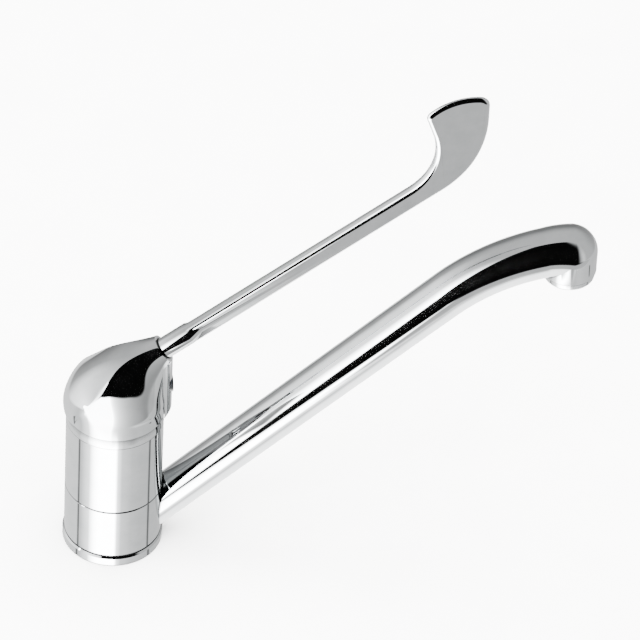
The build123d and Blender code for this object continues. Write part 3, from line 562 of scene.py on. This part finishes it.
def paddle_corner(foot, heading, inward, radius, centre):
    """Round corner between a straight edge that leaves a foot and the crest's circle."""
    along = Vector((math.cos(heading), math.sin(heading)))
    side = inward * Vector((-along.y, along.x))
    start = Vector(foot) + radius * side - centre
    slack = start.dot(along) ** 2 - start.dot(start) + (CREST_R - radius) ** 2
    middle = start + (math.sqrt(slack) - start.dot(along)) * along
    sweep = (-side).angle_signed(middle.normalized())
    places = []
    for step in range(CORNER_POINTS + 1):
        turn = Matrix.Rotation(-sweep * step / CORNER_POINTS, 2)
        places.append(tuple(centre + middle + radius * (turn @ -side)))
    return places


def lever_outline():
    """Side view of bar and paddle, along and across the lever, anticlockwise from the bar's start."""
    half = BAR_H / 2
    start = ROD_OUT - NECK_L / 2
    belly, heading = side_arc((BELLY_AT, -half), 0.0, BELLY_R, math.pi / 2 - LEVER_RISE)
    tip = Vector(belly[-1]) + TIP_RISE * Vector((math.cos(heading), math.sin(heading)))
    nape, turn = side_arc((NAPE_AT, half), 0.0, NAPE_R, NAPE_TURN)
    heel = Vector(nape[-1]) + HEEL_RISE * Vector((math.cos(turn), math.sin(turn)))
    chord = tip - heel
    outward = Vector((-chord.y, chord.x)).normalized()
    centre = (tip + heel) / 2 - math.sqrt(CREST_R ** 2 - chord.length_squared / 4) * outward
    front = paddle_corner(belly[-1], heading, 1, TIP_R, centre)
    back = paddle_corner(nape[-1], turn, -1, HEEL_R, centre)
    crest = arc_through(front[-1], tuple(centre + CREST_R * outward), back[-1], CREST_POINTS)
    bar = [(start, -half), (BELLY_AT, -half)]
    return (bar + belly + front[:-1] + crest + list(reversed(back[:-1])) + list(reversed(nape))
            + [(NAPE_AT, half), (start, half)])


def side_place(along, across):
    return BOSS + along * ALONG + across * ACROSS


def tighten_lower_edges(obj):
    """Draws the rounding of the lower edges of bar and paddle closer to the corner.

    It grows round the belly to the full rounding that the paddle's front edge has.
    """
    half = BAR_H / 2
    middle = Vector((BELLY_AT, BELLY_R - half))
    for vert in obj.data.vertices:
        place = vert.co / MM - BOSS
        side = Vector((place.dot(ALONG), place.dot(ACROSS)))
        spoke = side - middle
        turn = 0.0
        inward = Vector((0, 1))
        depth = side.y + half
        if side.x > BELLY_AT:
            turn = math.atan2(spoke.x, -spoke.y)
            inward = -spoke.normalized()
            depth = BELLY_R - spoke.length
        sunk = BAR_T / 2 - abs(place.y)
        if max(depth, sunk) < BAR_ROUND + FIT and turn < math.pi / 2 - LEVER_RISE:
            share = LOWER_SHARE + (1 - LOWER_SHARE) * smooth_step(turn, *EVEN_OUT)
            side += (share - 1) * depth * inward
            place = side_place(*side)
            place.y = math.copysign(BAR_T / 2 - share * sunk, vert.co.y)
            vert.co = place * MM


def lever():
    """Bar and paddle from one flat outline, rounded and thinned, joined to a rod that ends in a cone."""
    outline = lever_outline()
    bpy.ops.object.select_all(action="DESELECT")
    bpy.ops.mesh.primitive_circle_add(vertices=len(outline), radius=MM, fill_type="NGON")
    obj = bpy.context.view_layer.objects.active
    obj.name = "lever_polished"
    bpy.ops.object.mode_set(mode="EDIT")
    mesh = bmesh.from_edit_mesh(obj.data)
    for vert, place in zip(mesh.verts, outline):
        vert.co = (side_place(*place) - Vector((0, BAR_T / 2, 0))) * MM
    bpy.ops.mesh.select_all(action="SELECT")
    bpy.ops.mesh.extrude_region_move(TRANSFORM_OT_translate={"value": (0, BAR_T * MM, 0)})
    bpy.ops.mesh.select_all(action="SELECT")
    bpy.ops.mesh.normals_make_consistent(inside=False)
    bpy.ops.object.mode_set(mode="OBJECT")
    applied(obj, "BEVEL", width=BAR_ROUND * MM, segments=BEVEL_STEPS,
            limit_method="ANGLE", angle_limit=BEVEL_FROM)
    tighten_lower_edges(obj)
    for vert in obj.data.vertices:
        vert.co.y *= 1 - CREST_THIN * smooth_step(vert.co.z, PADDLE_FOOT * MM, PADDLE_TOP * MM)
    slope = (ROD_R - BAR_T / 2) / NECK_L
    point = ROD_OUT + (ROD_R - NECK_R) / slope
    profile = [(ROD_R, -ROD_IN), (ROD_R, 0), (ROD_R, ROD_OUT), (NECK_R, point)]
    rings = [round_ring(BOSS + at * ALONG, radius, Y_AXIS, ACROSS, ROD_POINTS) for radius, at in profile]
    combine(obj, skin("rod", rings), "UNION")
    dress(obj, "lever")


for name, obj in frame["nodes"].items():
    finish_with(obj, FINISHES[SLOT_OF[name]])

for name in ("base_ring", "mixer_body", "trim_ring", "aerator_housing"):
    polished(name)
# The trim ring gets the chrome copy with wider painted shade under the handle's edge.
finish_with(bpy.data.objects["trim_ring_polished"], PAINTED_SHADE_CHROME)
spout()
handle_dome()
indicator_plug()
lever()


# Floor and light, in metres
FLOOR_SIZE, FLOOR_Z = 8.0, -0.5 * MM
bpy.ops.object.select_all(action="DESELECT")
bpy.ops.mesh.primitive_plane_add(size=FLOOR_SIZE, location=(0, 0, FLOOR_Z))
floor = bpy.context.view_layer.objects.active
floor.name = "floor"
finish_with(floor, FLOOR_PAPER)
floor.visible_glossy = False

# Brightness of the studio by compass direction in degrees, 0 to the right of the picture and 90 behind it.
PEAK = 26.0
# Below the horizon: a bright sheet in front, grey to the sides.
SHEET_LEVELS = [(-180, 1.65), (-157, 4.0), (-142, 20.0), (-132, PEAK), (-94, PEAK), (-88, 5.0), (-78, 2.1),
                (-54, 1.45), (-31, 1.25), (0, 1.15), (50, 1.1), (100, 1.7), (168, 1.9), (180, 1.65)]
# Along the horizon: the sheet's raised edge to the left of the front, a lighter wall further left,
# darkness behind.
WALL_LEVELS = [(-180, 4.5), (-165, 5.0), (-145, 22.0), (-108, 22.0), (-98, 4.0), (-33, 0.9), (0, 0.9),
               (45, 0.5), (75, 0.3), (105, 0.3), (130, 0.8), (150, 3.0), (180, 4.5)]
# Two narrow dark gaps in the sheet, seen by upright walls only; at the peak the sheet stays as it is.
GAP_LEVELS = [(-180, PEAK), (-9, PEAK), (-6, 5.0), (-3, 5.0), (0, PEAK),
              (168, PEAK), (171, 4.0), (174, 4.0), (177, PEAK)]
CEILING, UNDERFOOT = 0.95, 5.0          # overhead, and straight below, where the sheet is the same all round
# Heights of a view, -1 straight down and 1 straight up, over which one brightness passes into another.
UNDERFOOT_TO_SHEET, SHEET_TO_WALLS, WALLS_TO_CEILING = (-0.88, -0.73), (-0.33, -0.20), (0.15, 0.85)
GAP_FOOT, GAP_TOP = (-0.72, -0.71), (-0.682, -0.686)


def mask(tree, edges):
    """1 inside all of the soft edges and 0 outside; an edge is a value and where it is outside and inside."""
    inside = 1.0
    for value, outside_at, inside_at in edges:
        edge = add(tree, "ShaderNodeMapRange", {
            "Value": value, "From Min": outside_at, "From Max": inside_at},
            interpolation_type="SMOOTHSTEP")["Result"]
        inside = add(tree, "ShaderNodeMath", {0: inside, 1: edge}, operation="MULTIPLY")["Value"]
    return inside


def laid_over(tree, under, over, edges):
    """Brightness that is the second level inside soft edges and the first outside."""
    return add(tree, "ShaderNodeMix", {"Factor": mask(tree, edges), "A": under, "B": over},
               data_type="FLOAT")["Result"]


def surround():
    """Studio all round: sheet, walls and ceiling, seen in the chrome."""
    world = bpy.data.worlds.new("studio")
    bpy.context.scene.world = world
    world.use_nodes = True
    tree = world.node_tree
    tree.nodes.clear()
    look = add(tree, "ShaderNodeTexCoord")["Generated"]
    axes = add(tree, "ShaderNodeSeparateXYZ", {"Vector": look})
    height = axes["Z"]
    bearing = add(tree, "ShaderNodeMath", {0: axes["Y"], 1: axes["X"]}, operation="ARCTAN2")["Value"]
    # 0 to 1 once round, from the left of the picture past the front
    turn = add(tree, "ShaderNodeMath", {0: bearing, 1: 1 / (2 * math.pi), 2: 0.5},
               operation="MULTIPLY_ADD")["Value"]
    shares = []
    for levels in (SHEET_LEVELS, WALL_LEVELS, GAP_LEVELS):
        stops = []
        for azimuth, level in levels:
            share = level / PEAK
            stops.append(((azimuth + 180) / 360, (share, share, share, 1)))
        shares.append(add(tree, "ShaderNodeValToRGB", {"Fac": turn}, stops)["Color"])
    sheet, walls, gaps = shares
    walls = laid_over(tree, walls, CEILING / PEAK, [(height, *WALLS_TO_CEILING)])
    gaps = laid_over(tree, 1.0, gaps, [(height, *GAP_FOOT), (height, *GAP_TOP)])
    sheet = add(tree, "ShaderNodeMath", {0: gaps, 1: sheet}, operation="MULTIPLY")["Value"]
    sheet = laid_over(tree, UNDERFOOT / PEAK, sheet, [(height, *UNDERFOOT_TO_SHEET)])
    light = laid_over(tree, sheet, walls, [(height, *SHEET_TO_WALLS)])
    strength = add(tree, "ShaderNodeMath", {0: light, 1: PEAK}, operation="MULTIPLY")["Value"]
    backdrop = add(tree, "ShaderNodeBackground", {
        "Color": linear("#FFFFFF"), "Strength": strength})["Background"]
    add(tree, "ShaderNodeOutputWorld", {"Surface": backdrop})


def panel(name, corners):
    """Flat panel that shows only in reflections, with its cloth's nodes and place axes.

    Its corners go left, right along one edge and then along the opposite one.
    """
    bpy.ops.object.select_all(action="DESELECT")
    bpy.ops.mesh.primitive_plane_add()
    obj = bpy.context.view_layer.objects.active
    obj.name = name
    for vert, corner in zip(obj.data.vertices, corners):
        vert.co = corner
    obj.data.update()
    material, tree = new_material(name + "_cloth")
    finish_with(obj, material)
    obj.visible_camera = False
    obj.visible_diffuse = False
    obj.visible_shadow = False
    place = add(tree, "ShaderNodeTexCoord")["Object"]
    return tree, add(tree, "ShaderNodeSeparateXYZ", {"Vector": place})


def glow(tree, level, inside):
    """Even glow where the mask is 1, clear where it is 0."""
    clear = add(tree, "ShaderNodeBsdfTransparent")["BSDF"]
    light = add(tree, "ShaderNodeEmission", {"Color": linear("#FFFFFF"), "Strength": level})["Emission"]
    cloth = add(tree, "ShaderNodeMixShader", {"Fac": inside, 1: clear, 2: light})["Shader"]
    add(tree, "ShaderNodeOutputMaterial", {"Surface": cloth})


# Dark room in front, with soft edges on the left, on the right and below.
FRONT_Y, FRONT_X, FRONT_Z, FRONT_DARK = -0.38, (-0.4, 0.7), (-0.05, 2.0), 0.004
FRONT_LEFT, FRONT_RIGHT, FRONT_FOOT = (-0.27, -0.21), (0.62, 0.36), (-0.03, 0.03)

# Reflector close to the hood, white on the left and greyer to the right. Its top is level, then slopes down
# to the right, and bounds the dark on the cheek.
REFLECTOR_Y, REFLECTOR_X, REFLECTOR_Z = -0.035, (-0.30, 0.07), (0.07, 0.13)
REFLECTOR_FOOT, REFLECTOR_RIGHT = (0.074, 0.084), (0.065, 0.045)
LEVEL_TOP, SLOPED_TOP, TOP_SLOPE = (0.1195, 0.1181), (0.1219, 0.1205), 0.2
WHITE_TO_GREY, DIM_BY = (-0.008, 0.038), (0.05, 1.8)    # places, and what a glow of 1 is divided by there

# Grey board on the floor in front of the paddle and the nozzle.
BOARD_X, BOARD_Y, BOARD_Z, BOARD_GREY = (0.04, 0.7), (-0.6, -0.1), 0.001, 0.95
BOARD_LEFT, BOARD_BACK = (0.05, 0.12), (-0.14, -0.20)


def dark_front():
    tree, axes = panel("dark_front", [(x, FRONT_Y, z) for z in FRONT_Z for x in FRONT_X])
    edges = [(axes["X"], *FRONT_LEFT), (axes["X"], *FRONT_RIGHT), (axes["Z"], *FRONT_FOOT)]
    glow(tree, FRONT_DARK, mask(tree, edges))


def white_reflector():
    tree, axes = panel("white_reflector", [(x, REFLECTOR_Y, z) for z in REFLECTOR_Z for x in REFLECTOR_X])
    sloped = add(tree, "ShaderNodeMath", {0: axes["X"], 1: TOP_SLOPE, 2: axes["Z"]},
                 operation="MULTIPLY_ADD")["Value"]
    edges = [(axes["Z"], *REFLECTOR_FOOT), (axes["X"], *REFLECTOR_RIGHT),
             (axes["Z"], *LEVEL_TOP), (sloped, *SLOPED_TOP)]
    dim = add(tree, "ShaderNodeMapRange", {
        "Value": axes["X"], "From Min": WHITE_TO_GREY[0], "From Max": WHITE_TO_GREY[1],
        "To Min": DIM_BY[0], "To Max": DIM_BY[1]})["Result"]
    level = add(tree, "ShaderNodeMath", {0: 1.0, 1: dim}, operation="DIVIDE")["Value"]
    glow(tree, level, mask(tree, edges))


def grey_board():
    tree, axes = panel("grey_board", [(x, y, BOARD_Z) for y in BOARD_Y for x in BOARD_X])
    glow(tree, BOARD_GREY, mask(tree, [(axes["X"], *BOARD_LEFT), (axes["Y"], *BOARD_BACK)]))


surround()
dark_front()
white_reflector()
grey_board()

# Soft light from above for the floor; it doesn't show in the chrome.
OVERHEAD_SIZE, OVERHEAD_WATTS, OVERHEAD_PLACE = 3.0, 850.0, (0.1, 0.0, 2.2)
light = bpy.data.lights.new("overhead", "AREA")
light.size = OVERHEAD_SIZE
light.energy = OVERHEAD_WATTS
overhead = bpy.data.objects.new("overhead", light)
bpy.context.collection.objects.link(overhead)
overhead.location = OVERHEAD_PLACE
overhead.visible_camera = False
overhead.visible_glossy = False

# Camera, at the photograph's place: long lens from above, slightly rolled.
ELEVATION, AZIMUTH, ROLL = math.radians(42.743), math.radians(-10.0), math.radians(2.835)
DISTANCE, TARGET = 3.6304, Vector((0.101322, 0.0, 0.13558))
FOCAL_PX, FRAME_PX, SENSOR_MM = 7329.2, 640, 36.0
back = Vector((math.sin(AZIMUTH) * math.cos(ELEVATION),
               -math.cos(AZIMUTH) * math.cos(ELEVATION),
               math.sin(ELEVATION)))
right = Vector((math.cos(AZIMUTH), math.sin(AZIMUTH), 0.0))
up = back.cross(right)
rolled_right = math.cos(ROLL) * right + math.sin(ROLL) * up
rolled_up = -math.sin(ROLL) * right + math.cos(ROLL) * up
lens = bpy.data.cameras.new("camera")
lens.sensor_width = SENSOR_MM
lens.lens = SENSOR_MM * FOCAL_PX / FRAME_PX
camera = bpy.data.objects.new("camera", lens)
bpy.context.collection.objects.link(camera)
turn = Matrix((rolled_right, rolled_up, back)).transposed().to_4x4()
camera.matrix_world = Matrix.Translation(TARGET + back * DISTANCE) @ turn
bpy.context.scene.camera = camera
